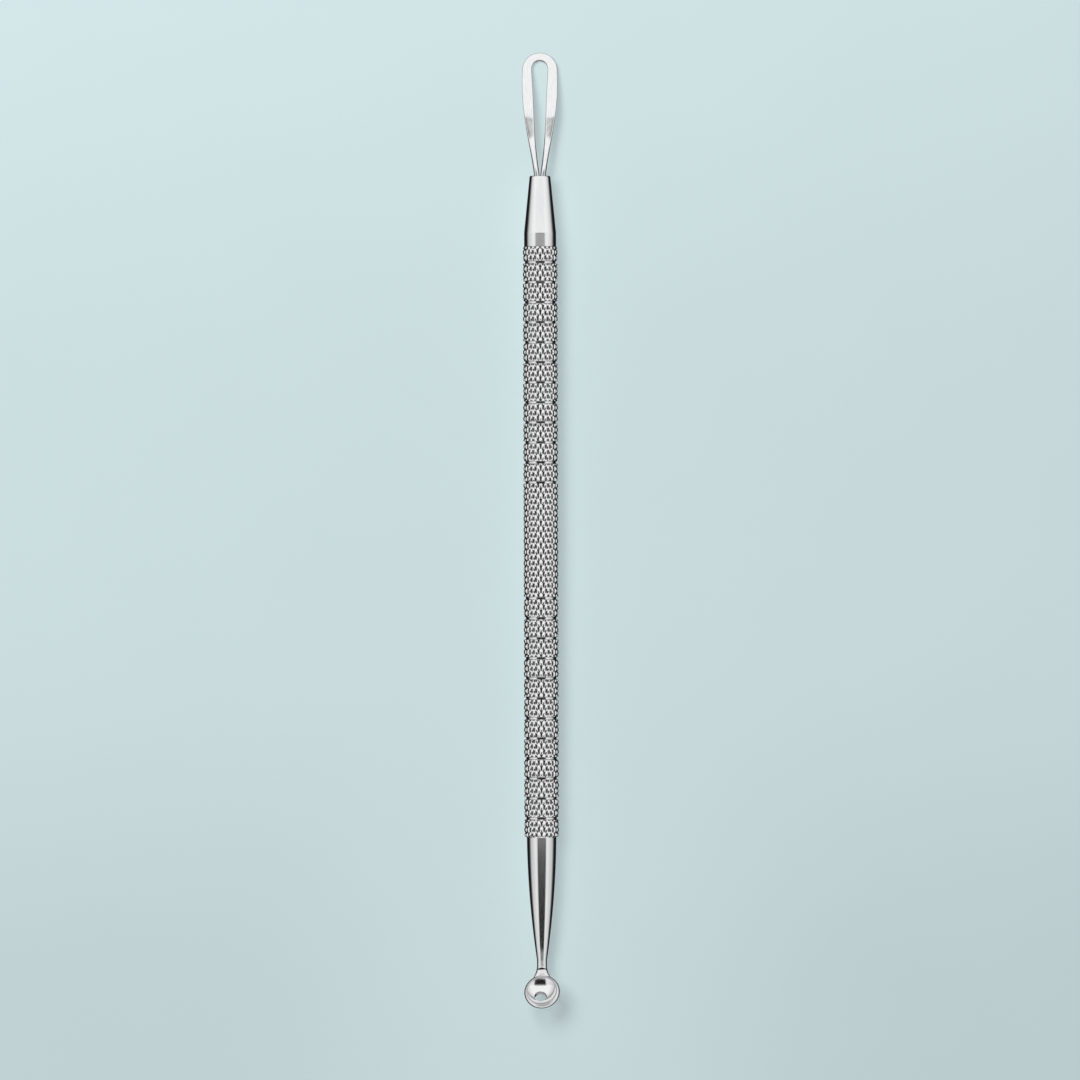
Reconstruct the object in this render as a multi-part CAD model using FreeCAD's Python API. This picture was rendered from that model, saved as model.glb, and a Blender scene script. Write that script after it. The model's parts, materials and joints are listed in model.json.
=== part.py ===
import FreeCAD, Part
import math
import os

from FreeCAD import Vector

# Comedone extractor: a knurled steel handle with a wire loop at one end and a small
# perforated cup at the other. It lies on the plane z = 0 with its axis along Y, the loop
# towards +Y, and the origin is under the middle of its box. Lengths are in millimetres
# and angles in degrees. The grip is at the size across the points of its knurl, and the
# fine diamonds of the knurl are left to the surface finish.

# Handle, from the loop end down to the neck
tip_d = 2.62
tip_edge = 0.08
tip_cone_length = 7.16
collar_d = 4.04
collar_length = 1.70
grip_d = 4.40
grip_length = 74.20
grip_end_slope = 0.20
taper_top_d = 3.73
taper_length = 15.40
taper_bulge = 0.26
neck_d = 1.26
neck_length = 0.80

# Ring grooves turned into the grip, in two sets
rings_per_set = 12
ring_pitch = 2.512
ring_width = 0.40
ring_floor_width = 0.22
ring_depth = 0.28
upper_rings_from_end = 2.00
lower_rings_from_end = 2.40

# Cup: a thick shallow bowl that leans back towards the handle and is turned a little to one
# side, with a drain hole square to the bowl and off its middle, towards the end of the tool
cup_d = 4.48
cup_bulge_r = 0.42
cup_bulge_depth = 0.40
cup_height = 1.40
cup_lean = 28.0
cup_turn = 14.0
cup_from_taper = 3.96
cup_above_axis = 1.49
bowl_r = 2.45
bowl_depth = 0.81
rim_edge_r = 0.05
drain_d = 1.55
drain_tilt = 13.5
drain_turn = -22.0

# Flare that carries the neck into the cup, and the flat faced across it from the rim
flare_length = 1.95
flare_end_width = 2.90
flare_end_height = 0.75
flare_end_rise = 0.475
flare_power = 1.8
flare_sections = 4
facing_d = 6.00

# Blind bore in the tip, filled with braze round the wire
bore_d = 1.60
bore_depth = 5.00
wire_insertion = 4.60

# Wire loop: one hairpin, round at its ends and pressed flat towards its crown
wire_d = 0.68
leg_spacing = 0.80
leg_bend_r = 3.00
leg_straight = 3.30
loop_side_length = 13.60
crown_r = 1.60
crown_width = 1.05
blade_width = 1.34
blade_thickness = 0.32
blade_widest_from_apex = 5.80
round_leg_length = 1.00
droop_from_tip = 0.40
leg_droop = 5.0
level_from_tip = 4.30
fold_from_tip = 7.20
fold_r = 8.00
crown_floor_gap = 0.04

# Roundness of the wire's section, and how many sections each half is drawn through
round_exponent = 2.0
flat_exponent = 4.0
section_points = 24
half_sections = 30


def blend(start, end, share):
    """Smooth change from start to end as share goes from 0 to 1, level at both ends."""
    share = min(max(share, 0.0), 1.0)
    return start + (end - start) * share * share * (3.0 - 2.0 * share)


def steps(start, end, count):
    """Evenly spaced values after start, up to and including end."""
    count = round(count)
    return [start + (end - start) * (i + 1) / count for i in range(count)]


def tilted_axis(lean, turn):
    """Unit vector that leans from +Z towards +Y, then turns about Z towards -X."""
    lean = math.radians(lean)
    turn = math.radians(turn)
    across = math.sin(lean)
    return Vector(-across * math.sin(turn), across * math.cos(turn), math.cos(lean))


# Half of the hairpin's middle line, from the apex of its crown to its end in the bore:
# the crown, one long arc, a straight leg, a reverse bend and the straight end
leg_x = leg_spacing / 2.0
side_shift = crown_r - leg_x
arcs_r = (loop_side_length ** 2 + side_shift ** 2 - leg_straight ** 2) / (2.0 * side_shift)
side_r = arcs_r - leg_bend_r
leg_angle = math.atan2(side_shift - arcs_r, loop_side_length) + math.atan2(arcs_r, leg_straight)
crown_end = crown_r * math.pi / 2.0
side_end = crown_end + side_r * leg_angle
leg_end = side_end + leg_straight
tip_end = leg_end + leg_bend_r * leg_angle
wire_end = tip_end + wire_insertion


def hairpin_point(s):
    """Where the middle line of the unfolded hairpin is, s from its apex.

    Gives x, the distance past the tip face, and the heading away from the apex, which is
    0 at the apex and a right angle where the wire runs straight towards the handle.
    """
    if s <= crown_end:
        turn = s / crown_r
        return crown_r * math.sin(turn), loop_side_length + crown_r * math.cos(turn), turn
    if s <= side_end:
        turn = (s - crown_end) / side_r
        x = crown_r - side_r * (1.0 - math.cos(turn))
        return x, loop_side_length - side_r * math.sin(turn), math.pi / 2.0 + turn
    if s <= leg_end:
        x, past_tip, heading = hairpin_point(side_end)
        run = s - side_end
        return x - run * math.sin(leg_angle), past_tip - run * math.cos(leg_angle), heading
    if s <= tip_end:
        turn = (tip_end - s) / leg_bend_r
        x = leg_x + leg_bend_r * (1.0 - math.cos(turn))
        return x, leg_bend_r * math.sin(turn), math.pi / 2.0 + turn
    return leg_x, tip_end - s, math.pi / 2.0


def wire_section(s):
    """Width, thickness and roundness exponent of the wire, s from the apex."""
    round_from = tip_end - round_leg_length
    flatness = (round_from - s) / (round_from - blade_widest_from_apex)
    width = blend(wire_d, blade_width, flatness)
    if s < blade_widest_from_apex:
        width = blend(crown_width, blade_width, s / blade_widest_from_apex)
    thickness = blend(wire_d, blade_thickness, flatness)
    return width, thickness, blend(round_exponent, flat_exponent, flatness)


def fold_drop(past_tip, fold):
    """Drop, reach and slope of a point of the hairpin once it is bent in side view.

    The legs droop a little, run level, and then the loop is folded down by an angle.
    """
    droop = math.radians(leg_droop)
    drop, reach, slope, done = 0.0, 0.0, 0.0, 0.0
    for start, bend in ((droop_from_tip, droop), (level_from_tip, -droop), (fold_from_tip, fold)):
        straight = min(past_tip, start) - done
        drop += straight * math.sin(slope)
        reach += straight * math.cos(slope)
        if past_tip <= start:
            return drop, reach, slope
        turn = math.copysign(min((past_tip - start) / fold_r, abs(bend)), bend)
        side = math.copysign(fold_r, bend)
        drop += side * (math.cos(slope) - math.cos(slope + turn))
        reach += side * (math.sin(slope + turn) - math.sin(slope))
        slope += turn
        done = start + fold_r * abs(turn)
    straight = past_tip - done
    return drop + straight * math.sin(slope), reach + straight * math.cos(slope), slope


def find_fold():
    """The fold that brings the lowest edge of the crown down to its gap over the floor."""
    wanted_drop = axis_z - blade_thickness / 2.0 - crown_floor_gap
    low, high = 0.0, math.pi / 2.0
    for _ in range(40):
        middle = (low + high) / 2.0
        if fold_drop(crown_edge, middle)[0] < wanted_drop:
            low = middle
        else:
            high = middle
    return low


# Places along the tool, with the middle of its whole length at y = 0
axis_z = grip_d / 2.0
crown_edge = loop_side_length + crown_r + (crown_width - blade_thickness) / 2.0
fold_angle = find_fold()
loop_reach = fold_drop(crown_edge, fold_angle)[1] + blade_thickness / 2.0
cup_axis = tilted_axis(cup_lean, cup_turn)
bulge_centre_r = cup_d / 2.0 - cup_bulge_r
cup_reach = cup_bulge_r + bulge_centre_r * math.sqrt(1.0 - cup_axis.y ** 2)
handle_length = tip_cone_length + collar_length + grip_length + taper_length + cup_from_taper
tip_y = (handle_length + cup_reach - loop_reach) / 2.0
collar_y = tip_y - tip_cone_length
grip_top_y = collar_y - collar_length
grip_bottom_y = grip_top_y - grip_length
taper_end_y = grip_bottom_y - taper_length
flare_y = taper_end_y - neck_length
cup_centre = Vector(0.0, taper_end_y - cup_from_taper, axis_z + cup_above_axis)
rim_centre = cup_centre + cup_axis * cup_bulge_depth


def turned(points):
    """Edges through points given as radius and place along the handle."""
    return Part.makePolygon([Vector(r, y, 0.0) for r, y in points]).Edges


def ring_places():
    """Y of every ring groove, from the loop end to the cup end."""
    upper = [grip_top_y - upper_rings_from_end - i * ring_pitch for i in range(rings_per_set)]
    lower = [grip_bottom_y + lower_rings_from_end + i * ring_pitch for i in range(rings_per_set)]
    return upper + lower[::-1]


def grip_outline():
    """Outline of the grip with its ring grooves, as radius and place along the handle."""
    grip_r = grip_d / 2.0
    floor_r = grip_r - ring_depth
    outline = [(collar_d / 2.0, grip_top_y), (grip_r, grip_top_y - grip_end_slope)]
    for y in ring_places():
        outline.append((grip_r, y + ring_width / 2.0))
        outline.append((floor_r, y + ring_floor_width / 2.0))
        outline.append((floor_r, y - ring_floor_width / 2.0))
        outline.append((grip_r, y - ring_width / 2.0))
    outline += [(grip_r, grip_bottom_y + grip_end_slope), (taper_top_d / 2.0, grip_bottom_y)]
    return outline


def make_turned_bar():
    """The bar as turned: tip cone, collar, grooved grip, bulging taper and thin neck."""
    tip_r = tip_d / 2.0
    taper_top_r = taper_top_d / 2.0
    neck_r = neck_d / 2.0
    start = [(0.0, tip_y), (tip_r - tip_edge, tip_y), (tip_r, tip_y - tip_edge)]
    start.append((collar_d / 2.0, collar_y))
    end = [(neck_r, taper_end_y), (neck_r, flare_y), (0.0, flare_y), (0.0, tip_y)]
    taper = Part.BezierCurve()
    taper.setPoles([
        Vector(taper_top_r, grip_bottom_y, 0.0),
        Vector((taper_top_r + neck_r) / 2.0 + 2.0 * taper_bulge, (grip_bottom_y + taper_end_y) / 2.0, 0.0),
        Vector(neck_r, taper_end_y, 0.0),
    ])
    outline = Part.Wire(turned(start + grip_outline()) + [taper.toShape()] + turned(end))
    bar = Part.Face(outline).revolve(Vector(0, 0, 0), Vector(0, 1, 0), 360.0)
    bar.translate(Vector(0, 0, axis_z))
    return bar


def make_flare():
    """The widening end of the neck, drawn through ellipses that grow towards the cup."""
    sections = []
    for share in [0.0] + steps(0.0, 1.0, flare_sections):
        half_width = (neck_d + (flare_end_width - neck_d) * share ** flare_power) / 2.0
        half_height = (neck_d + (flare_end_height - neck_d) * share) / 2.0
        centre = Vector(0.0, flare_y - flare_length * share, axis_z + flare_end_rise * share)
        if share == 0.0:
            curve = Part.Circle(centre, Vector(0, 1, 0), half_width)
        else:
            side = centre + Vector(half_width, 0, 0)
            top = centre + Vector(0, 0, half_height)
            curve = Part.Ellipse(side, top, centre)
        sections.append(Part.Wire([curve.toShape()]))
    return Part.makeLoft(sections, True, False)


def on_cup_axis(shape):
    """Puts a shape modelled about Z, with the rim of the cup at z = 0, in its place."""
    shape.Placement = FreeCAD.Placement(rim_centre, FreeCAD.Rotation(Vector(0, 0, 1), cup_axis))
    return shape


def make_cup_body():
    """The cup before its bowl is sunk: a bulging side, tangent to a rounder bottom."""
    below_bulge = cup_height - cup_bulge_depth
    bottom_r = bulge_centre_r ** 2 + below_bulge ** 2 - cup_bulge_r ** 2
    bottom_r /= 2.0 * (below_bulge - cup_bulge_r)
    bulge_centre = Vector(bulge_centre_r, 0.0, -cup_bulge_depth)
    bottom_centre = Vector(0.0, 0.0, bottom_r - cup_height)
    lowest = Vector(0.0, 0.0, -cup_height)
    tangent = (bulge_centre - bottom_centre).normalize()
    join = bottom_centre + tangent * bottom_r
    middle = bottom_centre + (tangent + Vector(0, 0, -1)).normalize() * bottom_r
    rim_r = bulge_centre_r + math.sqrt(cup_bulge_r ** 2 - cup_bulge_depth ** 2)
    rim = Vector(rim_r, 0.0, 0.0)
    widest = bulge_centre + Vector(cup_bulge_r, 0.0, 0.0)
    edges = [Part.Arc(rim, widest, join).toShape(), Part.Arc(join, middle, lowest).toShape()]
    edges += Part.makePolygon([lowest, Vector(0, 0, 0), rim]).Edges
    return on_cup_axis(Part.Face(Part.Wire(edges)).revolve(Vector(0, 0, 0), Vector(0, 0, 1), 360.0))


def is_bowl_edge(edge):
    """True for the circle where the bowl meets the flat of the rim."""
    if edge.Degenerated or not isinstance(edge.Curve, Part.Circle):
        return False
    mouth_r = math.sqrt(bowl_r ** 2 - (bowl_r - bowl_depth) ** 2)
    at_rim = edge.Curve.Center.distanceToPoint(rim_centre) < 1e-6
    return at_rim and abs(edge.Curve.Radius - mouth_r) < 1e-6


def make_bore():
    """The space of the blind bore in the tip."""
    bottom = Vector(0, tip_y - bore_depth, axis_z)
    return Part.makeCylinder(bore_d / 2.0, bore_depth, bottom, Vector(0, 1, 0))


def make_handle():
    """The steel bar with its neck flared into the cup, all in one piece."""
    facing = on_cup_axis(Part.makeCylinder(facing_d / 2.0, facing_d))
    bowl_centre = Vector(0.0, 0.0, bowl_r - bowl_depth)
    bowl = on_cup_axis(Part.makeSphere(bowl_r, bowl_centre))
    down = tilted_axis(drain_tilt, drain_turn) * -1.0
    drain = on_cup_axis(Part.makeCylinder(drain_d / 2.0, bowl_r + cup_height, bowl_centre, down))
    bar = make_turned_bar().fuse(make_flare()).cut(facing)
    handle = bar.fuse(make_cup_body()).cut(bowl).removeSplitter()
    handle = handle.makeFillet(rim_edge_r, [edge for edge in handle.Edges if is_bowl_edge(edge)])
    return handle.cut(drain).cut(make_bore())


def wire_outline(s, side):
    """Closed curve round the wire, s from the apex, on the side of the loop towards +X or -X."""
    x, past_tip, heading = hairpin_point(s)
    width, thickness, exponent = wire_section(s)
    drop, reach, slope = fold_drop(past_tip, fold_angle)
    centre = Vector(side * x, tip_y + reach, axis_z - drop)
    face = Vector(0.0, math.sin(slope), math.cos(slope))
    down_blade = Vector(0.0, math.cos(slope), -math.sin(slope))
    outwards = Vector(side * math.sin(heading), 0.0, 0.0) + down_blade * math.cos(heading)
    points = []
    for i in range(section_points):
        turn = 2.0 * math.pi * i / section_points
        wide = math.copysign(abs(math.cos(turn)) ** (2.0 / exponent), math.cos(turn)) * width / 2.0
        thick = math.copysign(abs(math.sin(turn)) ** (2.0 / exponent), math.sin(turn)) * thickness / 2.0
        points.append(centre + outwards * wide + face * thick)
    curve = Part.BSplineCurve()
    curve.interpolate(points, PeriodicFlag=True, Parameters=[float(i) for i in range(section_points + 1)])
    return curve


def rail_through(points):
    """Smooth curve along the wire through one point of each of its sections."""
    rail = Part.BSplineCurve()
    rail.interpolate(points, Parameters=[float(i) for i in range(len(points))])
    return rail


def make_wire_loop():
    """The hairpin of wire: a smooth skin over its sections from one end round to the other."""
    half = steps(0.0, wire_end, half_sections)
    sections = [wire_outline(s, 1.0) for s in half[::-1] + [0.0]]
    sections += [wire_outline(s, -1.0) for s in half]
    rails = [rail_through(list(poles)) for poles in zip(*[curve.getPoles() for curve in sections])]
    along, around = rails[0], sections[0]
    skin = Part.BSplineSurface()
    skin.buildFromPolesMultsKnots(
        [list(poles) for poles in zip(*[rail.getPoles() for rail in rails])],
        along.getMultiplicities(), around.getMultiplicities(),
        along.getKnots(), around.getKnots(), False, True, along.Degree, around.Degree)
    ends = [Part.Face(Part.Wire([curve.toShape()])) for curve in (sections[0], sections[-1])]
    shell = Part.makeShell([skin.toShape()] + ends)
    shell.sewShape()
    return Part.Solid(shell)


handle = make_handle()
wire_loop = make_wire_loop()
braze_fill = make_bore().cut(wire_loop)

os.makedirs("parts", exist_ok=True)
for name, shape in (("handle", handle), ("wire_loop", wire_loop), ("braze_fill", braze_fill)):
    shape.exportStep("parts/" + name + ".step")
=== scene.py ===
import json
import math

import bmesh
import bpy
import numpy as np
from mathutils import Matrix, Vector

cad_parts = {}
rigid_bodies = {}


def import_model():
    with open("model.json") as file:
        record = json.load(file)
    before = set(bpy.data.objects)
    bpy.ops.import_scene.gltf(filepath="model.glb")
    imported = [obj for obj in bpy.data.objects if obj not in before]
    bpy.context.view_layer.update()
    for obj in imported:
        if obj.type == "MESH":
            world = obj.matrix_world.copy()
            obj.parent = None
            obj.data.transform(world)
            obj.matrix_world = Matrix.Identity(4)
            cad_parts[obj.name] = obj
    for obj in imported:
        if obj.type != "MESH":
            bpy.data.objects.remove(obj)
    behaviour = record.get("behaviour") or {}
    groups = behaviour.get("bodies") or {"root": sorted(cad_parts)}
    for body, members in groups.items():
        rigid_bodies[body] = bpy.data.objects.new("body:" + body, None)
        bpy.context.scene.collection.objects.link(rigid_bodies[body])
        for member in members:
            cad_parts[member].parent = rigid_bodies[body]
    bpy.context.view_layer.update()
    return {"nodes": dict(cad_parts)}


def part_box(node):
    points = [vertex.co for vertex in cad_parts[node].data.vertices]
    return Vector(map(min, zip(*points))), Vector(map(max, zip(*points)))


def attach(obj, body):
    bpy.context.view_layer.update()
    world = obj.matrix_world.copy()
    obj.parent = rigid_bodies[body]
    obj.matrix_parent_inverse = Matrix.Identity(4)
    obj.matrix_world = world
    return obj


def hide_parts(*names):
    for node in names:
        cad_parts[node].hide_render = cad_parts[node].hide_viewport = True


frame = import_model()

# Sizes in millimetres, as in the part's source
MM = 0.001
tip_d, tip_edge, tip_cone_length = 2.62, 0.08, 7.16
collar_d, collar_length = 4.04, 1.70
grip_d, grip_length, grip_end_slope = 4.40, 74.20, 0.20
taper_top_d, taper_length, taper_bulge = 3.73, 15.40, 0.26
neck_d, neck_length = 1.26, 0.80
rings_per_set, ring_pitch, ring_width, ring_floor_width, ring_depth = 12, 2.512, 0.40, 0.22, 0.28
upper_rings_from_end, lower_rings_from_end = 2.00, 2.40
cup_d, cup_bulge_r, cup_bulge_depth, cup_height = 4.48, 0.42, 0.40, 1.40
cup_lean, cup_turn, cup_from_taper, cup_above_axis = 28.0, 14.0, 3.96, 1.49
bowl_r, bowl_depth, rim_edge_r = 2.45, 0.81, 0.05
drain_d, drain_tilt, drain_turn = 1.55, 13.5, -22.0
flare_length, flare_end_width, flare_end_height, flare_end_rise = 1.95, 2.90, 0.75, 0.475
flare_power, facing_d = 1.8, 6.00
bore_d, bore_depth, wire_insertion = 1.60, 5.00, 4.60
wire_d, leg_spacing, leg_bend_r, leg_straight = 0.68, 0.80, 3.00, 3.30
loop_side_length, crown_r, crown_width = 13.60, 1.60, 1.05
blade_width, blade_thickness, blade_widest_from_apex = 1.34, 0.32, 5.80
round_leg_length, crown_floor_gap = 1.00, 0.04
droop_from_tip, leg_droop, level_from_tip, fold_from_tip, fold_r = 0.40, 5.0, 4.30, 7.20, 8.00

# The knurl: crossed grooves, twenty each way round
knurl_starts = 20
knurl_pitch = 1.394
knurl_depth = 0.22
knurl_phase = 0.852
knurl_separate = 0.35
knurl_cell_steps = 5
# The floors of the ring grooves fall this much for each millimetre towards the cup
ring_fall = 0.09
# Corners of the turned parts
edge_round = 0.03
# Points of the meshes round a turned part, the cup, its drain and the wire
turned_count, cup_count, drain_count, wire_count = 128, 160, 96, 48

axis_z = grip_d / 2
tip_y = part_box("handle")[1].y / MM
collar_y = tip_y - tip_cone_length
grip_top_y = collar_y - collar_length
grip_bottom_y = grip_top_y - grip_length
taper_end_y = grip_bottom_y - taper_length
flare_y = taper_end_y - neck_length


def unit(v):
    """A vector, or each row of an array of them, at length 1."""
    return v / np.linalg.norm(v, axis=-1, keepdims=True)


def smooth(a, b, share):
    """A soft step from a to b."""
    share = min(max(share, 0.0), 1.0)
    return a + (b - a) * share * share * (3 - 2 * share)


def make_object(name, verts, faces):
    """A smooth-shaded mesh object from points in millimetres."""
    mesh = bpy.data.meshes.new(name)
    mesh.from_pydata([tuple(p) for p in np.asarray(verts) * MM], [], faces)
    mesh.validate()
    mesh.polygons.foreach_set("use_smooth", [True] * len(mesh.polygons))
    mesh.update()
    obj = bpy.data.objects.new(name, mesh)
    bpy.context.scene.collection.objects.link(obj)
    return obj


def faces_between(rings, count):
    """The faces between neighbouring rings of points, each ring with the same count."""
    faces = []
    for i in range(rings - 1):
        for j in range(count):
            k = (j + 1) % count
            faces.append((i * count + j, i * count + k, (i + 1) * count + k, (i + 1) * count + j))
    return faces


def end_caps(rings, count):
    """The two faces that close a tube of rings of points."""
    last = (rings - 1) * count
    return [tuple(range(count))[::-1], tuple(range(last, last + count))]


# Turned parts


def softened(profile, reach):
    """A profile with a small round of three points at each corner.

    A point on either side of each round keeps the shading of the straight parts level.
    """
    largest_share, beside = 0.3, 1.5
    points = [np.array(p, float) for p in profile]
    out = [points[0]]
    for before, corner, after in zip(points, points[1:], points[2:]):
        back = before - corner
        ahead = after - corner
        r = min(reach, largest_share * np.linalg.norm(back), largest_share * np.linalg.norm(ahead))
        start = corner + unit(back) * r
        end = corner + unit(ahead) * r
        middle = 0.25 * start + 0.5 * corner + 0.25 * end
        out += [corner + unit(back) * beside * r, start, middle, end, corner + unit(ahead) * beside * r]
    out.append(points[-1])
    return out


def lathe(profile, count):
    """Rings of points and the faces between them, about the handle's axis."""
    turns = np.arange(count) * 2 * math.pi / count
    verts = []
    for r, y in profile:
        verts += [(r * math.sin(t), y, axis_z + r * math.cos(t)) for t in turns]
    return verts, faces_between(len(profile), count)


def taper_point(t):
    """Radius and place on the bulging taper, t from its top to the neck."""
    top_r, neck_r = taper_top_d / 2, neck_d / 2
    middle_r = (top_r + neck_r) / 2 + 2 * taper_bulge
    r = (1 - t) ** 2 * top_r + 2 * t * (1 - t) * middle_r + t ** 2 * neck_r
    return r, grip_bottom_y - taper_length * t


def ring_places():
    """Where the ring grooves lie along the grip, from the tip to the cup."""
    upper = [grip_top_y - upper_rings_from_end - i * ring_pitch for i in range(rings_per_set)]
    lower = [grip_bottom_y + lower_rings_from_end + i * ring_pitch for i in range(rings_per_set)]
    return upper + lower[::-1]


def envelope(y):
    """The largest radius of the grip at y, with its ring grooves and its sloping ends."""
    r = grip_d / 2
    for place in ring_places():
        d = abs(y - place)
        if d < ring_width / 2:
            share = max(d - ring_floor_width / 2, 0) / ((ring_width - ring_floor_width) / 2)
            r = grip_d / 2 - ring_depth * (1 - share) + ring_fall * (y - place)
    if y > grip_top_y - grip_end_slope:
        share = (grip_top_y - y) / grip_end_slope
        r = min(r, collar_d / 2 + (grip_d - collar_d) / 2 * max(share, 0))
    if y < grip_bottom_y + grip_end_slope:
        share = (y - grip_bottom_y) / grip_end_slope
        r = min(r, taper_top_d / 2 + (grip_d - taper_top_d) / 2 * max(share, 0))
    return r


def groove(t):
    """How far the metal stands up out of one set of grooves, 0 at a groove and 1 between."""
    return 0.5 - 0.5 * math.cos(2 * math.pi * t)


def knurl_height(u, v):
    """Height of the knurl, 0 in a pit where two grooves cross and 1 on a point."""
    a, b = groove(u), groove(v)
    return knurl_separate * a * b + (1 - knurl_separate) * (a + b) / 2


def knurl_lattice():
    """Points and faces along both sets of grooves, from beyond one end of the grip to the other."""
    row_length = knurl_pitch / 2
    first_row = math.floor((grip_bottom_y - tip_y) / row_length) - 2
    last_row = math.ceil((grip_top_y - tip_y) / row_length) + 2
    index, verts, faces = {}, [], []

    def vertex(u, v):
        """The point u grooves along one set and v along the other, made once."""
        key = (round((v - u) * 1000), round((u + v) * 1000) % (2000 * knurl_starts))
        if key not in index:
            turn = (u + v) * math.pi / knurl_starts
            y = tip_y + (v - u) * row_length + knurl_phase
            r = grip_d / 2 - knurl_depth * (1 - knurl_height(u, v))
            index[key] = len(verts)
            verts.append((r * math.sin(turn), y, r * math.cos(turn)))
        return index[key]

    step = 1 / knurl_cell_steps
    for row in range(first_row, last_row + 1):
        for column in range(2 * knurl_starts):
            if (column + row) % 2:
                continue
            u0, v0 = (column - row) // 2, (column + row) // 2
            for p in range(knurl_cell_steps):
                for q in range(knurl_cell_steps):
                    corners = ((p, q), (p + 1, q), (p + 1, q + 1), (p, q + 1))
                    faces.append(tuple(vertex(u0 + i * step, v0 + j * step) for i, j in corners))
    return verts, faces


def cut_across(bm, levels):
    """Cuts a mesh at each level along the grip, so that its edges follow the rings and the ends."""
    waiting = sorted(bm.faces, key=lambda f: min(v.co.y for v in f.verts))
    starts = [min(v.co.y for v in f.verts) for f in waiting]
    reached = 0
    active = []
    for y in levels:
        while reached < len(waiting) and starts[reached] < y:
            active.append(waiting[reached])
            reached += 1
        active = [f for f in active if f.is_valid and max(v.co.y for v in f.verts) > y]
        geom = set(active)
        for f in active:
            geom.update(f.edges)
            geom.update(f.verts)
        cut = bmesh.ops.bisect_plane(bm, geom=list(geom), dist=1e-7, plane_co=(0, y, 0), plane_no=(0, 1, 0))
        active = [f for f in cut["geom"] if isinstance(f, bmesh.types.BMFace)]


def knurled_grip():
    """The knurled grip, cut down to its ring grooves and its sloping ends."""
    levels = [grip_bottom_y, grip_bottom_y + grip_end_slope, grip_top_y - grip_end_slope, grip_top_y]
    for place in ring_places():
        for half in (ring_width / 2, ring_floor_width / 2):
            levels += [place - half, place + half]
    levels = np.array(sorted(levels))

    bm = bmesh.new()
    verts, faces = knurl_lattice()
    made = [bm.verts.new(p) for p in verts]
    for f in faces:
        bm.faces.new([made[i] for i in f])
    cut_across(bm, levels)
    outside = [f for f in bm.faces if not grip_bottom_y < f.calc_center_median().y < grip_top_y]
    bmesh.ops.delete(bm, geom=outside, context="FACES")
    for v in bm.verts:
        r = math.hypot(v.co.x, v.co.z)
        share = min(r, envelope(v.co.y)) / r
        v.co.x *= share
        v.co.z = v.co.z * share + axis_z
    # The edges that run round at a level stay sharp
    on_level = 1e-5
    for e in bm.edges:
        a, b = (v.co.y for v in e.verts)
        if abs(a - b) < on_level and np.min(np.abs(levels - a)) < on_level:
            e.smooth = False
    bm.normal_update()
    for f in bm.faces:
        out = f.calc_center_median()
        if f.normal.x * out.x + f.normal.z * (out.z - axis_z) < 0:
            f.normal_flip()
    mesh = bpy.data.meshes.new("grip")
    bm.to_mesh(mesh)
    bm.free()
    mesh.polygons.foreach_set("use_smooth", [True] * len(mesh.polygons))
    mesh.update()
    mesh.transform(Matrix.Scale(MM, 4))
    return mesh


# Cup end


def tilted_axis(lean, turn):
    """Unit vector that leans from +Z towards +Y, then turns about Z towards -X."""
    lean, turn = math.radians(lean), math.radians(turn)
    return np.array([-math.sin(lean) * math.sin(turn), math.sin(lean) * math.cos(turn), math.cos(lean)])


cup_axis = tilted_axis(cup_lean, cup_turn)
cup_centre = np.array([0, taper_end_y - cup_from_taper, axis_z + cup_above_axis])
rim_centre = cup_centre + cup_axis * cup_bulge_depth
to_cup = np.array(Vector((0, 0, 1)).rotation_difference(Vector(cup_axis)).to_matrix())
bulge_centre_r = cup_d / 2 - cup_bulge_r
below_bulge = cup_height - cup_bulge_depth
bowl_centre_z = bowl_r - bowl_depth
drain_axis = tilted_axis(drain_tilt, drain_turn)
bottom_r = (bulge_centre_r ** 2 + below_bulge ** 2 - cup_bulge_r ** 2) / (2 * (below_bulge - cup_bulge_r))


def arc(centre, r, start, end, count):
    """Points of an arc in a cup's profile, from one angle to the other."""
    turns = np.linspace(start, end, count)
    return [(centre[0] + r * math.cos(t), centre[1] + r * math.sin(t)) for t in turns]


def revolved(profile, count):
    """A closed solid turned about the cup's axis; a profile's radius 0 is its pole."""
    turns = np.arange(count) * 2 * math.pi / count
    verts, rings = [], []
    for r, z in profile:
        if r < 1e-9:
            rings.append([len(verts)] * count)
            verts.append((0, 0, z))
        else:
            rings.append(list(range(len(verts), len(verts) + count)))
            verts += [(r * math.cos(t), r * math.sin(t), z) for t in turns]
    faces = []
    for a, b in zip(rings, rings[1:]):
        for j in range(count):
            k = (j + 1) % count
            face = []
            for i in (a[j], a[k], b[k], b[j]):
                if i not in face:
                    face.append(i)
            if len(face) > 2:
                faces.append(tuple(face))
    return verts, faces


def flare_section(y):
    """Half width, half height and height of the middle of the neck's tube at y."""
    if y >= taper_end_y:
        t = (grip_bottom_y - y) / taper_length
        r = taper_point(t)[0]
        return r, r, axis_z
    share = min(max((flare_y - y) / flare_length, 0), 1)
    half_width = (neck_d + (flare_end_width - neck_d) * share ** flare_power) / 2
    half_height = (neck_d + (flare_end_height - neck_d) * share) / 2
    return half_width, half_height, axis_z + flare_end_rise * share


def neck_tube(join_y, count):
    """The last of the taper, the neck and the flare as one closed tube."""
    places = list(np.linspace(join_y, taper_end_y, 8))
    places += list(np.linspace(taper_end_y, flare_y, 5))[1:]
    places += list(np.linspace(flare_y, flare_y - flare_length, 26))[1:]
    turns = np.arange(count) * 2 * math.pi / count
    verts = []
    for y in places:
        w, h, z = flare_section(y)
        verts += [(w * math.sin(t), y, z + h * math.cos(t)) for t in turns]
    return verts, faces_between(len(places), count) + end_caps(len(places), count)


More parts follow.
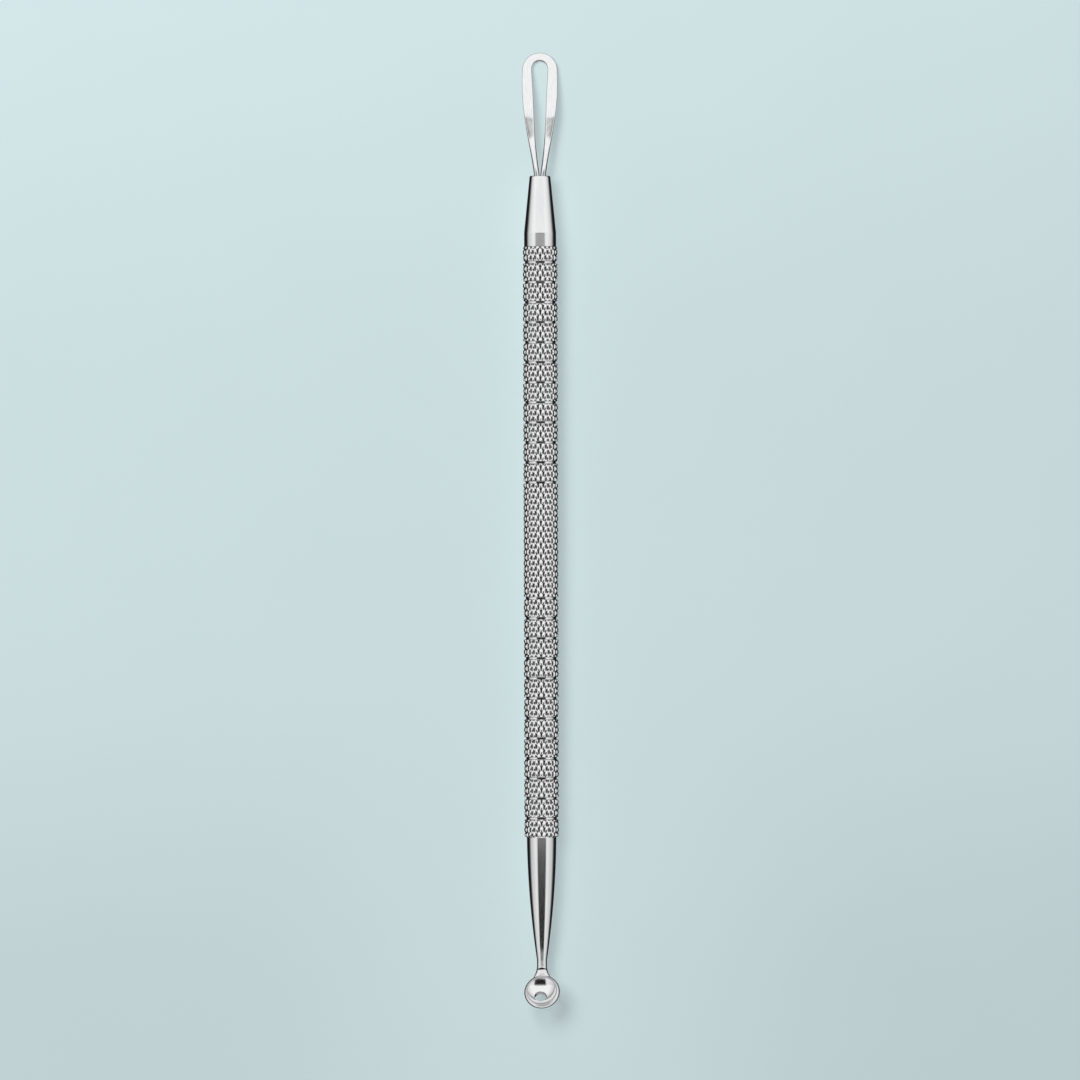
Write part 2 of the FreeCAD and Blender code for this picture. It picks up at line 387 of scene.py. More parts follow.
def outward(obj):
    """The same object with the faces of its closed mesh turned outwards."""
    bm = bmesh.new()
    bm.from_mesh(obj.data)
    bmesh.ops.recalc_face_normals(bm, faces=bm.faces)
    bm.to_mesh(obj.data)
    bm.free()
    return obj


def combine(obj, other, operation):
    """The exact boolean of two closed meshes, in place of the first."""
    modifier = obj.modifiers.new("cut", "BOOLEAN")
    modifier.operation = operation
    modifier.solver = "EXACT"
    modifier.object = other
    graph = bpy.context.evaluated_depsgraph_get()
    mesh = bpy.data.meshes.new_from_object(obj.evaluated_get(graph))
    obj.modifiers.clear()
    obj.data = mesh
    bpy.data.objects.remove(other)
    return obj


def cup_profiles():
    """Profiles of the cup's body and of the space over it, and the centre of the rim's inner round."""
    # The round of the bowl's edge touches the flat of the rim and the bowl
    edge_z = -rim_edge_r
    edge_x = math.sqrt((bowl_r + rim_edge_r) ** 2 - (edge_z - bowl_centre_z) ** 2)
    tangent = math.atan2(edge_z - bowl_centre_z, edge_x)
    join_turn = math.atan2(bowl_centre_z - edge_z, -edge_x)
    bowl = arc((0, bowl_centre_z), bowl_r, -math.pi / 2, tangent, 40)
    bowl[0] = (0.0, bowl[0][1])
    edge = arc((edge_x, edge_z), rim_edge_r, join_turn, math.pi / 2, 8)
    cut_r, cut_top = facing_d / 2, facing_d
    space = bowl + edge[1:] + [(cut_r, 0.0), (cut_r, cut_top), (0.0, cut_top)]
    # The body's bulge starts a little over the flat of the rim
    side_start = math.radians(85)
    down = math.atan2(-cup_bulge_depth - (bottom_r - cup_height), bulge_centre_r)
    side = arc((bulge_centre_r, -cup_bulge_depth), cup_bulge_r, side_start, down, 40)
    bottom = arc((0, bottom_r - cup_height), bottom_r, down, -math.pi / 2, 22)
    bottom[-1] = (0.0, bottom[-1][1])
    return [(0.0, side[0][1])] + side + bottom[1:], space, (edge_x, edge_z)


def cup_end(join_y):
    """The neck, its flare and the perforated cup as one mesh, joined by exact booleans.

    The booleans run with the cup upright, and the cup stands a little too tall until the
    bowl and the flat of its rim are cut, so no two faces lie in one plane.
    """
    body, space, edge_centre = cup_profiles()

    def solid(name, verts, faces):
        """A closed mesh in millimetres, in which the booleans run."""
        return outward(make_object(name, np.array(verts) / MM, faces))

    verts, faces = neck_tube(join_y, turned_count)
    neck = solid("neck", (np.array(verts) - rim_centre) @ to_cup, faces)
    neck = combine(neck, solid("cup", *revolved(body, cup_count)), "UNION")
    neck = combine(neck, solid("space", *revolved(space, cup_count)), "DIFFERENCE")
    neck = combine(neck, solid("drain", *drain_cylinder(drain_count)), "DIFFERENCE")
    placed = np.zeros(len(neck.data.vertices) * 3)
    neck.data.vertices.foreach_get("co", placed)
    placed = (placed.reshape(-1, 3) @ to_cup.T + rim_centre) * MM
    neck.data.vertices.foreach_set("co", placed.ravel())
    neck.data.update()
    return neck, edge_centre


def drain_cylinder(count):
    """The drain, square to the bowl, from the bowl's centre to below the cup."""
    across = unit(np.cross(drain_axis, [0, 1, 0]))
    along = np.cross(drain_axis, across)
    turns = np.arange(count) * 2 * math.pi / count
    verts = []
    for depth in (0.0, bowl_r + cup_height):
        centre = np.array([0, 0, bowl_centre_z]) - drain_axis * depth
        verts += [centre + drain_d / 2 * (across * math.cos(t) + along * math.sin(t)) for t in turns]
    return verts, faces_between(2, count) + end_caps(2, count)


def cup_surfaces(edge_centre):
    """How far points by the cup lie from each of its surfaces, and the surface's normal there.

    Each entry is a function of points in the cup's own upright place.
    """

    def about_ring(p, ring_r, ring_z, r, sign):
        rho = np.maximum(np.hypot(p[:, 0], p[:, 1]), 1e-9)
        d = np.stack([rho - ring_r, p[:, 2] - ring_z], 1)
        gap = np.abs(np.linalg.norm(d, axis=1) - r)
        d = unit(d) * sign
        return gap, np.stack([d[:, 0] * p[:, 0] / rho, d[:, 0] * p[:, 1] / rho, d[:, 1]], 1)

    def about_line(p, axis, r):
        d = p - [0, 0, bowl_centre_z]
        d = d - np.outer(d @ axis, axis)
        return np.abs(np.linalg.norm(d, axis=1) - r), -unit(d)

    return [
        lambda p: about_ring(p, bulge_centre_r, -cup_bulge_depth, cup_bulge_r, 1),
        lambda p: about_ring(p, 0, bottom_r - cup_height, bottom_r, 1),
        lambda p: about_ring(p, 0, bowl_centre_z, bowl_r, -1),
        lambda p: about_ring(p, edge_centre[0], edge_centre[1], rim_edge_r, 1),
        lambda p: about_line(p, drain_axis, drain_d / 2),
        lambda p: about_line(p, np.array([0.0, 0.0, 1.0]), facing_d / 2),
        lambda p: (np.abs(p[:, 2]), np.tile([0.0, 0.0, 1.0], (len(p), 1))),
    ]


def tube_normals(points):
    """Normals of the neck's tube at points on it, from small steps each way."""

    def outside(p):
        out = np.zeros(len(p))
        for i, (x, y, z) in enumerate(p):
            w, h, middle = flare_section(y)
            out[i] = (x / w) ** 2 + ((z - middle) / h) ** 2 - 1
        return out

    steps = 1e-4 * np.eye(3)
    return unit(np.stack([outside(points + step) - outside(points - step) for step in steps], 1))


def cup_normals(mesh, edge_centre):
    """The true normal of each face corner of the cup end, from the surface it lies on."""
    widest_gap, cost_of_turn, least_agreement = 0.02, 0.05, 0.6
    corners = np.zeros(len(mesh.loops), int)
    mesh.loops.foreach_get("vertex_index", corners)
    points = mesh_arrays(mesh)[0] / MM
    owner = np.zeros(len(mesh.loops), int)
    flat = np.zeros((len(mesh.polygons), 3))
    centres = np.zeros((len(mesh.polygons), 3))
    for poly in mesh.polygons:
        owner[poly.loop_start:poly.loop_start + poly.loop_total] = poly.index
        flat[poly.index] = poly.normal
        centres[poly.index] = poly.center
    upright = (points - rim_centre) @ to_cup
    middles = (centres / MM - rim_centre) @ to_cup
    upright_flat = flat @ to_cup
    surfaces = cup_surfaces(edge_centre)
    best = np.full(len(middles), widest_gap)
    choice = np.full(len(middles), -1)
    for i, surface in enumerate(surfaces):
        gap, normals = surface(middles)
        agreement = np.sum(normals * upright_flat, 1)
        score = gap + cost_of_turn * (1 - agreement)
        better = (score < best) & (agreement > least_agreement)
        best[better] = score[better]
        choice[better] = i

    # What lies on none of the cup's surfaces is the tube, and its end caps keep their own normal
    out = flat[owner].copy()
    for i, surface in enumerate(surfaces):
        mine = choice[owner] == i
        out[mine] = surface(upright[corners[mine]])[1] @ to_cup.T
    mine = choice[owner] < 0
    normals = tube_normals(points[corners[mine]])
    own = flat[owner[mine]]
    stray = np.sum(normals * own, 1) < 0.5
    normals[stray] = own[stray]
    out[mine] = normals
    return out


def mesh_arrays(mesh):
    """The points of a mesh as an array, and its faces."""
    verts = np.zeros(len(mesh.vertices) * 3)
    mesh.vertices.foreach_get("co", verts)
    return verts.reshape(-1, 3), [tuple(p.vertices) for p in mesh.polygons]


def corner_normals(mesh):
    """The normals of a smooth-shaded mesh, one for each face corner."""
    normals = np.zeros(len(mesh.loops) * 3)
    mesh.corner_normals.foreach_get("vector", normals)
    return normals.reshape(-1, 3)


def make_handle():
    """The whole handle: the turned parts, the knurled grip and the cup end, in one mesh."""
    # How far the turned parts run on out of sight under the ends of the grip
    under, over = 0.1, 0.05
    tip_r, collar_r, taper_top_r = tip_d / 2, collar_d / 2, taper_top_d / 2
    top = [(1e-4, tip_y - bore_depth), (bore_d / 2, tip_y - bore_depth), (bore_d / 2, tip_y),
           (tip_r - tip_edge, tip_y), (tip_r, tip_y - tip_edge), (collar_r, collar_y),
           (collar_r, grip_top_y), (collar_r - under, grip_top_y - over)]
    join_y = taper_end_y + 1.5
    join_t = (grip_bottom_y - join_y) / taper_length
    taper = [(taper_top_r - under, grip_bottom_y + over)]
    taper += [taper_point(t) for t in [0.0, 0.002] + list(np.linspace(0.02, join_t, 19))]
    pieces = []
    for profile in (softened(top, edge_round), taper):
        turned = make_object("turned", *lathe(profile, turned_count)).data
        pieces.append((turned, corner_normals(turned)))
    grip = knurled_grip()
    pieces.append((grip, corner_normals(grip)))
    cup, edge_centre = cup_end(join_y)
    pieces.append((cup.data, cup_normals(cup.data, edge_centre)))

    all_verts, all_faces, all_normals = [], [], []
    base = 0
    for mesh, normals in pieces:
        verts, faces = mesh_arrays(mesh)
        all_verts.append(verts)
        all_faces += [tuple(i + base for i in f) for f in faces]
        all_normals.append(normals)
        base += len(verts)
    for obj in [o for o in bpy.data.objects if o.name.split(".")[0] in ("turned", "neck")]:
        bpy.data.objects.remove(obj)
    mesh = bpy.data.meshes.new("handle_bar")
    mesh.from_pydata([tuple(p) for p in np.concatenate(all_verts)], [], all_faces)
    mesh.polygons.foreach_set("use_smooth", [True] * len(mesh.polygons))
    mesh.update()
    mesh.normals_split_custom_set([tuple(n) for n in np.concatenate(all_normals)])
    obj = bpy.data.objects.new("handle_bar", mesh)
    bpy.context.scene.collection.objects.link(obj)
    return obj


# Wire loop

leg_x = leg_spacing / 2
side_shift = crown_r - leg_x
arcs_r = (loop_side_length ** 2 + side_shift ** 2 - leg_straight ** 2) / (2 * side_shift)
side_r = arcs_r - leg_bend_r
leg_angle = math.atan2(side_shift - arcs_r, loop_side_length) + math.atan2(arcs_r, leg_straight)
crown_end = crown_r * math.pi / 2
side_end = crown_end + side_r * leg_angle
leg_end = side_end + leg_straight
tip_end = leg_end + leg_bend_r * leg_angle
wire_end = tip_end + wire_insertion


def hairpin_point(s):
    """Where the wire's centre line runs, s along it from the crown: across, along and its heading."""
    if s <= crown_end:
        a = s / crown_r
        return crown_r * math.sin(a), loop_side_length + crown_r * math.cos(a), a
    if s <= side_end:
        a = (s - crown_end) / side_r
        return crown_r - side_r * (1 - math.cos(a)), loop_side_length - side_r * math.sin(a), math.pi / 2 + a
    if s <= leg_end:
        x, along, heading = hairpin_point(side_end)
        run = s - side_end
        return x - run * math.sin(leg_angle), along - run * math.cos(leg_angle), heading
    if s <= tip_end:
        a = (tip_end - s) / leg_bend_r
        return leg_x + leg_bend_r * (1 - math.cos(a)), leg_bend_r * math.sin(a), math.pi / 2 + a
    return leg_x, tip_end - s, math.pi / 2


def wire_section(s):
    """Width and thickness of the wire, and the exponent of its outline: 2 is round."""
    round_from = tip_end - round_leg_length
    flatness = (round_from - s) / (round_from - blade_widest_from_apex)
    width = smooth(wire_d, blade_width, flatness)
    if s < blade_widest_from_apex:
        width = smooth(crown_width, blade_width, s / blade_widest_from_apex)
    return width, smooth(wire_d, blade_thickness, flatness), smooth(2.0, 4.0, flatness)


def fold_drop(along, fold):
    """Drop, reach and slope of the wire in side view: a droop, a level run, then the fold."""
    droop = math.radians(leg_droop)
    drop, reach, slope, done = 0.0, 0.0, 0.0, 0.0
    for start, bend in ((droop_from_tip, droop), (level_from_tip, -droop), (fold_from_tip, fold)):
        straight = min(along, start) - done
        drop += straight * math.sin(slope)
        reach += straight * math.cos(slope)
        if along <= start:
            return drop, reach, slope
        bent = math.copysign(min((along - start) / fold_r, abs(bend)), bend)
        side = math.copysign(fold_r, bend)
        drop += side * (math.cos(slope) - math.cos(slope + bent))
        reach += side * (math.sin(slope + bent) - math.sin(slope))
        slope += bent
        done = start + fold_r * abs(bent)
    straight = along - done
    return drop + straight * math.sin(slope), reach + straight * math.cos(slope), slope


def find_fold():
    """The fold that brings the crown down to its height over the floor."""
    edge = loop_side_length + crown_r + (crown_width - blade_thickness) / 2
    low, high = 0.0, math.pi / 2
    for _ in range(40):
        middle = (low + high) / 2
        if fold_drop(edge, middle)[0] < axis_z - blade_thickness / 2 - crown_floor_gap:
            low = middle
        else:
            high = middle
    return low


def make_wire():
    """The hairpin as one swept mesh, with a UV map along the wire and across it, in millimetres."""
    fold = find_fold()
    half = list(np.linspace(0, crown_end, 60)) + list(np.linspace(crown_end, wire_end, 170))[1:]
    places = [(s, 1) for s in half[::-1]] + [(s, -1) for s in half[1:]]
    # The underside's map lies this far beside the upper side's
    under_shift = 3
    verts, uvs = [], []
    for s, side in places:
        x, along, heading = hairpin_point(s)
        width, thickness, exponent = wire_section(s)
        drop, reach, slope = fold_drop(along, fold)
        centre = np.array([side * x, tip_y + reach, axis_z - drop])
        face = np.array([0, math.sin(slope), math.cos(slope)])
        down = np.array([0, math.cos(slope), -math.sin(slope)])
        out = np.array([side * math.sin(heading), 0, 0]) + down * math.cos(heading)
        for i in range(wire_count):
            t = 2 * math.pi * (i + 0.5) / wire_count
            wide = math.copysign(abs(math.cos(t)) ** (2 / exponent), math.cos(t)) * width / 2
            thick = math.copysign(abs(math.sin(t)) ** (2 / exponent), math.sin(t)) * thickness / 2
            verts.append(centre + out * wide + face * thick)
            uvs.append((wide + (under_shift if thick < 0 else 0), side * s))
    faces = faces_between(len(places), wire_count) + end_caps(len(places), wire_count)
    obj = outward(make_object("loop_wire", verts, faces))
    layer = obj.data.uv_layers.new(name="along_wire")
    for loop in obj.data.loops:
        layer.data[loop.index].uv = uvs[loop.vertex_index]
    return obj


# Materials


class Nodes:
    """Short calls for building the nodes of a material or of the world."""

    def __init__(self, owner):
        owner.use_nodes = True
        self.owner = owner
        self.tree = owner.node_tree
        self.shader = self.tree.nodes.get("Principled BSDF")

    def add(self, kind, settings=None, **inputs):
        """A node with its settings and its inputs, an underscore in a name standing for a space."""
        node = self.tree.nodes.new(kind)
        for key, value in (settings or {}).items():
            setattr(node, key, value)
        for key, value in inputs.items():
            self.put(node.inputs[key.replace("_", " ")], value)
        return node

    def put(self, socket, value):
        """Links another node's output to a socket, or sets the socket's value."""
        if isinstance(value, bpy.types.NodeSocket):
            self.tree.links.new(value, socket)
        else:
            socket.default_value = value

    def numbered(self, kind, settings, values):
        """A node with its first inputs given in order."""
        node = self.add(kind, settings)
        for socket, value in zip(node.inputs, values):
            self.put(socket, value)
        return node

    def math(self, operation, *values):
        return self.numbered("ShaderNodeMath", {"operation": operation}, values).outputs[0]

    def vector(self, operation, *values):
        """The result of a vector operation; lengths and dot products are single values."""
        node = self.numbered("ShaderNodeVectorMath", {"operation": operation}, values)
        return node.outputs["Value" if operation in ("LENGTH", "DOT_PRODUCT") else "Vector"]

    def scale(self, vector, factors):
        return self.add("ShaderNodeMapping", Vector=vector, Scale=factors).outputs[0]

    def noise(self, vector, size, detail, rough):
        node = self.add("ShaderNodeTexNoise", Vector=vector, Scale=size, Detail=detail, Roughness=rough)
        return node.outputs["Fac"]

    def spread(self, value, low, high, new_low, new_high):
        """A value mapped from one range to another, and kept inside it."""
        return self.numbered("ShaderNodeMapRange", {}, (value, low, high, new_low, new_high)).outputs[0]

    def ramp_up(self, value, low, high):
        """A soft step from 0 to 1."""
        settings = {"interpolation_type": "SMOOTHSTEP"}
        return self.numbered("ShaderNodeMapRange", settings, (value, low, high, 0.0, 1.0)).outputs[0]

    def grey(self, value):
        return self.add("ShaderNodeCombineXYZ", X=value, Y=value, Z=value).outputs[0]

    def blend(self, share, a, b):
        """Colour a turning into colour b."""
        node = self.add("ShaderNodeMix", {"data_type": "RGBA"})
        self.put(node.inputs[0], share)
        self.put(node.inputs[6], a)
        self.put(node.inputs[7], b)
        return node.outputs[2]

    def near(self, value, middle, full, none):
        """1 within one distance of a value's middle, falling to 0 at a longer distance."""
        off = self.math("ABSOLUTE", self.math("SUBTRACT", value, middle))
        return self.spread(off, full, none, 1.0, 0.0)

    def bump(self, height, distance, strength=1.0, normal=None):
        node = self.add("ShaderNodeBump", Strength=strength, Distance=distance, Height=height)
        if normal is not None:
            self.put(node.inputs["Normal"], normal)
        return node.outputs[0]


def rim_masks(n, place, height):
    """Where dirt and painted shade lie in the crease, where a darker grey is painted on the lip as shade,
    and where its round is brushed.
    """
    from_rim = n.vector("SUBTRACT", place, tuple(rim_centre * MM))
    level = n.vector("DOT_PRODUCT", from_rim, tuple(cup_axis))
    length = n.vector("LENGTH", from_rim)
    from_axis = n.math("SQRT", n.math("SUBTRACT", n.math("MULTIPLY", length, length),
                                      n.math("MULTIPLY", level, level)))
    # The crease is where the faced flat meets the neck; dirt and painted shade darken it
    crease_dirt_and_shade = n.math("MULTIPLY", n.near(from_axis, facing_d / 2 * MM, 0.045 * MM, 0.085 * MM),
                    n.math("GREATER_THAN", height, axis_z * MM))
    rim_r = bulge_centre_r + math.sqrt(cup_bulge_r ** 2 - cup_bulge_depth ** 2)
    # Painted shade: a darker grey ring on the lip
    lip = n.math("MULTIPLY", n.near(from_axis, (rim_r - 0.07) * MM, 0.06 * MM, 0.11 * MM),
                 n.math("GREATER_THAN", level, -0.06 * MM))
    rim_round = n.math("MULTIPLY", n.near(from_axis, (rim_r + 0.12) * MM, 0.10 * MM, 0.16 * MM),
                       n.math("GREATER_THAN", level, -0.25 * MM))
    return crease_dirt_and_shade, lip, rim_round


def drain_mask(n, place):
    """1 inside the drain's own radius, and a little past it."""
    from_bowl = n.vector("SUBTRACT", place, tuple((rim_centre + cup_axis * bowl_centre_z) * MM))
    off_axis = n.vector("LENGTH", n.vector("CROSS_PRODUCT", from_bowl, tuple(to_cup @ drain_axis)))
    return n.math("LESS_THAN", off_axis, (drain_d / 2 + 0.01) * MM)


def handle_material():
    """Turned and polished stainless steel, with grime and painted shade in the knurl's pits, dirt and
    painted shade in the crease by the cup, painted shade on the lip, and fine turning lines.
    """
    n = Nodes(bpy.data.materials.new("handle_steel"))
    place = n.add("ShaderNodeTexCoord").outputs["Object"]
    x, y, z = n.add("ShaderNodeSeparateXYZ", Vector=place).outputs
    up = n.math("SUBTRACT", z, axis_z * MM)
    r = n.math("SQRT", n.math("ADD", n.math("MULTIPLY", x, x), n.math("MULTIPLY", up, up)))
    # The cup and the flare are buffed bright; the turned bar keeps its turning marks
    buff_start, buff_full = flare_y - 0.4 * flare_length, flare_y - 1.1 * flare_length
    buffed = n.spread(y, buff_start * MM, buff_full * MM, 0.0, 1.0)
    turned = n.math("SUBTRACT", 1.0, buffed)
    in_grip = n.math("MULTIPLY", n.math("LESS_THAN", y, grip_top_y * MM),
                     n.math("GREATER_THAN", y, grip_bottom_y * MM))
    plain = n.math("MULTIPLY", turned, n.math("SUBTRACT", 1.0, in_grip))
    # Turning lines run round the bar: they change along it and hardly round it
    lines = n.noise(n.scale(place, (60, 9000, 60)), 1.0, 3.0, 0.6)
    patches = n.noise(n.scale(place, (500, 160, 500)), 1.0, 3.0, 0.55)
    scratches = n.noise(n.scale(place, (5200, 420, 5200)), 1.0, 2.0, 0.7)

    # Grime and painted shade darken the pits of the knurl, and stay out of the deeper ring grooves
    full_grime_and_shade, no_grime_and_shade, ring_floor = (grip_d / 2 - share * knurl_depth for share in (0.84, 0.64, 1.06))
    low = n.spread(r, full_grime_and_shade * MM, no_grime_and_shade * MM, 1.0, 0.0)
    low = n.math("MULTIPLY", low, n.math("GREATER_THAN", r, ring_floor * MM))
    grime_and_shade = n.math("MULTIPLY", n.math("MULTIPLY", low, in_grip), n.spread(patches, 0.35, 0.65, 0.84, 0.98))
    crease_dirt_and_shade, lip, rim_round = rim_masks(n, place, z)
    drilled = n.math("MULTIPLY", drain_mask(n, place), buffed)
    # The crease's dirt and painted shade join the knurl's grime and painted shade
    grime_and_shade = n.math("MAXIMUM", grime_and_shade, crease_dirt_and_shade)

    steel = n.blend(n.spread(patches, 0.3, 0.7, 0, 1), (0.79, 0.795, 0.805, 1), (0.84, 0.84, 0.84, 1))
    # The pits and the crease are painted near black: grime with painted shade
    colour = n.blend(grime_and_shade, steel, (0.02, 0.02, 0.02, 1))
    # Painted shade on the lip: a darker grey, a little uneven
    painted_lip_shade = n.math("MULTIPLY", lip, n.spread(patches, 0.3, 0.7, 0.75, 1.0))
    colour = n.blend(painted_lip_shade, colour, (0.40, 0.40, 0.42, 1))
    colour = n.blend(drilled, colour, (0.80, 0.78, 0.82, 1))

    rough = n.spread(scratches, 0.3, 0.7, 0.05, 0.09)
    near_neck = n.spread(y, (taper_end_y + 1.7) * MM, (taper_end_y + 0.9) * MM, 0.0, 0.16)
    turning = n.math("MULTIPLY", plain, n.math("ADD", near_neck, 0.08))
    rough = n.math("ADD", rough, turning)
    for mask, more in ((grime_and_shade, 0.16), (lip, 0.2), (rim_round, 0.26), (drilled, 0.50)):
        rough = n.math("ADD", rough, n.math("MULTIPLY", mask, more))

    height = n.math("MULTIPLY", n.math("ADD", lines, n.math("MULTIPLY", scratches, 0.4)), turned)
    n.put(n.shader.inputs["Base Color"], colour)
    n.put(n.shader.inputs["Roughness"], rough)
    n.shader.inputs["Metallic"].default_value = 1.0
    n.shader.inputs["Anisotropic"].default_value = 0.8
    n.shader.inputs["Anisotropic Rotation"].default_value = 0.25
    n.put(n.shader.inputs["Tangent"], n.add("ShaderNodeTangent", {"axis": "Y"}).outputs[0])
    n.put(n.shader.inputs["Normal"], n.bump(height, 0.0000012))
    return n.owner


def loop_material():
    """Pressed wire, polished along its length so that fine streaks run round the loop."""
    n = Nodes(bpy.data.materials.new("loop_steel"))
    place = n.add("ShaderNodeTexCoord").outputs["UV"]
    streaks = n.noise(n.scale(place, (16, 0.9, 1)), 1.0, 3.0, 0.65)
    fine = n.noise(n.scale(place, (60, 2.5, 1)), 1.0, 2.0, 0.6)
    waves = n.noise(n.scale(place, (1.6, 0.8, 1)), 1.0, 2.0, 0.5)
    steel = n.blend(n.spread(streaks, 0.35, 0.65, 0, 1), (0.74, 0.745, 0.76, 1), (0.90, 0.90, 0.90, 1))
    # Painted shade: the rounded edges, which face sideways, are painted darker than the pressed faces
    facing = n.add("ShaderNodeNewGeometry").outputs["Normal"]
    upward = n.add("ShaderNodeSeparateXYZ", Vector=facing).outputs[2]
    edges = n.spread(upward, 0.58, 0.92, 1.0, 0.0)
    n.put(n.shader.inputs["Base Color"], n.blend(edges, steel, (0.20, 0.20, 0.21, 1)))
    n.put(n.shader.inputs["Roughness"], n.spread(fine, 0.3, 0.7, 0.05, 0.12))
    n.shader.inputs["Metallic"].default_value = 1.0
    height = n.math("ADD", streaks, n.math("MULTIPLY", fine, 0.35))
    uneven = n.bump(waves, 0.00002, 0.5)
    n.put(n.shader.inputs["Normal"], n.bump(height, 0.000007, 1.0, uneven))
    return n.owner


def braze_material():
    """Silver braze, a little dull and uneven where it set round the two legs."""
    n = Nodes(bpy.data.materials.new("silver_braze"))
    place = n.add("ShaderNodeTexCoord").outputs["Object"]
    lumps = n.noise(n.scale(place, (2500, 2500, 2500)), 1.0, 3.0, 0.6)
    colour = n.blend(n.spread(lumps, 0.35, 0.65, 0, 1), (0.50, 0.48, 0.44, 1), (0.66, 0.64, 0.59, 1))
    n.put(n.shader.inputs["Base Color"], colour)
    n.put(n.shader.inputs["Roughness"], n.spread(lumps, 0.3, 0.7, 0.28, 0.42))
    n.shader.inputs["Metallic"].default_value = 1.0
    n.put(n.shader.inputs["Normal"], n.bump(lumps, 0.00003, 0.7))
    return n.owner


def floor_material():
    """Plain pale blue-green paper, with painted light beyond the loop and painted shade at the near corners.
    """
    n = Nodes(bpy.data.materials.new("floor_paper"))
    place = n.add("ShaderNodeTexCoord").outputs["Object"]
    x, y, z = n.add("ShaderNodeSeparateXYZ", Vector=place).outputs
    # Painted light towards the loop end, and painted shade at the near corners
    far = n.ramp_up(y, 0.014, 0.075)
    near = n.math("MULTIPLY", n.ramp_up(n.math("MULTIPLY", y, -1.0), 0.012, 0.060),
                  n.ramp_up(n.math("ABSOLUTE", x), 0.004, 0.045))
    cloud = n.spread(n.noise(n.scale(place, (60, 60, 60)), 1.0, 2.0, 0.5), 0.3, 0.7, -0.004, 0.004)
    light = n.math("ADD", n.math("ADD", 1.0, cloud), n.math("MULTIPLY", far, 0.06))
    light = n.math("SUBTRACT", light, n.math("MULTIPLY", near, 0.08))
    colour = n.add("ShaderNodeVectorMath", {"operation": "SCALE"}, Scale=light)
    colour.inputs[0].default_value = (0.604, 0.733, 0.748)
    n.put(n.shader.inputs["Base Color"], colour.outputs[0])
    n.shader.inputs["Roughness"].default_value = 0.9
    n.shader.inputs["Specular IOR Level"].default_value = 0.0
    return n.owner


# The object

handle = make_handle()
handle.data.materials.append(handle_material())
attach(handle, "root")
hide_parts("handle")

wire = make_wire()
wire.data.materials.append(loop_material())
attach(wire, "root")
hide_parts("wire_loop")

braze = frame["nodes"]["braze_fill"]
braze.data.materials.clear()
braze.data.materials.append(braze_material())

# The stage

floor_half = 800
corners = [(x * floor_half, y * floor_half, 0) for x, y in ((-1, -1), (1, -1), (1, 1), (-1, 1))]
floor = make_object("floor", corners, [(0, 1, 2, 3)])
floor.data.materials.append(floor_material())
floor.visible_glossy = False


def add_lamp(data, place):
    """A lamp that faces the middle of the tool and shows in no reflection."""
    lamp = bpy.data.objects.new(data.name, data)
    lamp.location = place
    lamp.rotation_euler = (-Vector(place)).to_track_quat("-Z", "Y").to_euler()
    lamp.visible_glossy = False
    bpy.context.scene.collection.objects.link(lamp)


def floor_light():
    """A broad key from the upper left that casts the shadow, and a fill for the rest of the light."""
    key_share, key_radiance = 0.38, 13.7
    width, height = 0.40, 0.26
    key = bpy.data.lights.new("key", "AREA")
    key.shape = "RECTANGLE"
    key.size, key.size_y = width, height
    key.energy = key_share * key_radiance * math.pi * width * height
    add_lamp(key, (-0.22, 0.225, 0.55))
    fill = bpy.data.lights.new("fill", "SUN")
    fill.energy = math.pi * (1 - key_share)
    fill.use_shadow = False
    add_lamp(fill, (0, 0, 1))


def gap_brightness(n, along):
    """Brightness of the gap over the tool, dark towards the cup and lighter towards the loop."""
    stops = ((-40, 0.010), (-20, 0.011), (-14, 0.018), (-9, 0.024), (-5, 0.045), (-2, 0.12), (0, 0.26),
             (2, 0.40), (10, 0.75))
    first, last = stops[0][0], stops[-1][0]
    gap = n.add("ShaderNodeValToRGB")
    n.put(gap.inputs[0], n.spread(along, first, last, 0, 1))
    elements = gap.color_ramp.elements
    while len(elements) < len(stops):
        elements.new(0.5)
    for element, (angle, value) in zip(elements, stops):
        element.position = (angle - first) / (last - first)
        element.color = (value, value, value, 1)
    return gap.outputs[0]


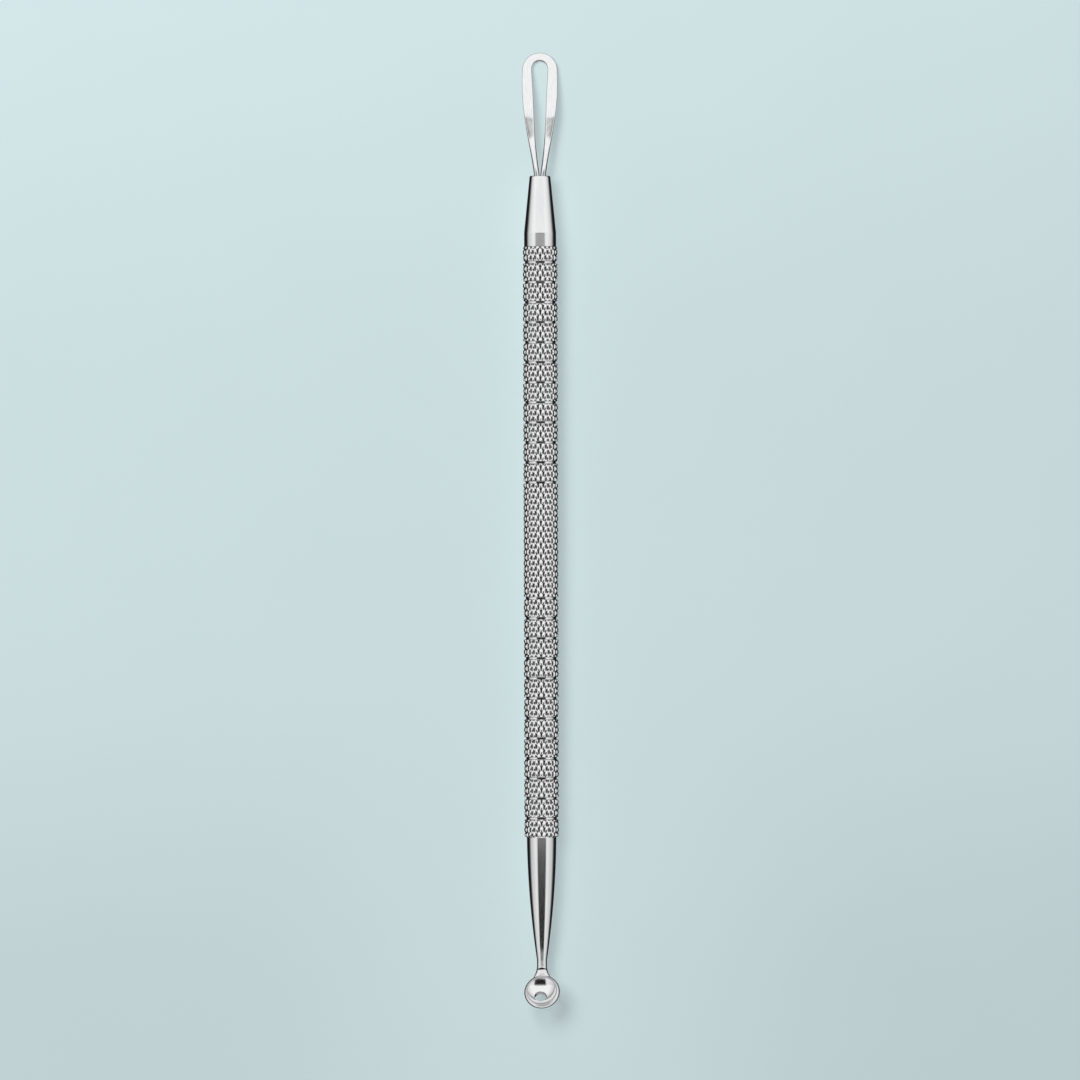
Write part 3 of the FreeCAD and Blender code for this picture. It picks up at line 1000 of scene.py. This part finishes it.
def studio_light():
    """What surrounds the metal: a white tent with a dark gap over it, where the camera looks in.

    Only reflections see the tent, and the camera sees a pale backdrop. Lamps light the floor.
    """
    backdrop, dark_room, floor_seen = (0.66, 0.80, 0.82, 1), (0.012, 0.012, 0.014, 1), (0.34, 0.36, 0.40, 1)
    world = bpy.data.worlds.new("studio")
    bpy.context.scene.world = world
    n = Nodes(world)
    direction = n.add("ShaderNodeTexCoord").outputs["Generated"]
    x, y, z = n.add("ShaderNodeSeparateXYZ", Vector=direction).outputs
    # Angles from straight up, across the tool and along it, in degrees
    degree = math.degrees(1)
    across = n.math("MULTIPLY", n.math("ARCTAN2", n.math("ABSOLUTE", x), z), degree)
    along = n.math("MULTIPLY", n.math("ARCTAN2", y, z), degree)
    back = n.math("MULTIPLY", along, -1.0)
    at_sides = n.ramp_up(across, 28, 41)
    at_loop_end = n.ramp_up(along, 3, 10)
    at_cup_end = n.ramp_up(back, 35, 43)
    tent = n.math("MAXIMUM", n.math("MAXIMUM", at_sides, at_loop_end), at_cup_end)
    # The sides are a little greyer low down, and towards the cup as far as where the tent closes
    grey_side = n.math("MULTIPLY", n.ramp_up(back, -6, 3), n.math("SUBTRACT", 1.0, at_cup_end))
    low_side = n.math("MULTIPLY", n.ramp_up(across, 48, 95), 0.32)
    white = n.math("SUBTRACT", n.math("SUBTRACT", 1.06, low_side), n.math("MULTIPLY", grey_side, 0.16))
    seen = n.blend(tent, gap_brightness(n, along), n.grey(white))
    # Straight below lies the pale floor, and round it the dark room
    straight_down = n.ramp_up(n.math("MULTIPLY", z, -1.0), 0.90, 0.99)
    seen = n.blend(n.ramp_up(z, -0.41, 0.13), n.blend(straight_down, dark_room, floor_seen), seen)
    path = n.add("ShaderNodeLightPath")
    other = n.blend(path.outputs["Is Camera Ray"], (0, 0, 0, 1), backdrop)
    background = n.tree.nodes["Background"]
    n.put(background.inputs["Color"], n.blend(path.outputs["Is Glossy Ray"], other, seen))
    background.inputs["Strength"].default_value = 1.0


floor_light()
studio_light()

# The photograph is taken from straight above; it is 1080 pixels wide, of this size in millimetres
photo_mm = 0.125589
picture_width = 1080 * photo_mm
# The middle of the picture lies this many pixels from the middle of the tool
aim_x, aim_y = -0.9, -10.0
lens, sensor, roll = 400.0, 36.0, -0.15
camera_data = bpy.data.cameras.new("camera")
camera_data.lens = lens
camera_data.sensor_width = sensor
camera_data.clip_start = 0.01
camera_data.clip_end = 10
camera = bpy.data.objects.new("camera", camera_data)
camera_height = picture_width * lens / sensor + axis_z
camera.location = (aim_x * photo_mm * MM, aim_y * photo_mm * MM, camera_height * MM)
camera.rotation_euler = (0, 0, math.radians(roll))
bpy.context.scene.collection.objects.link(camera)
bpy.context.scene.camera = camera
bpy.context.scene.view_settings.view_transform = "Standard"
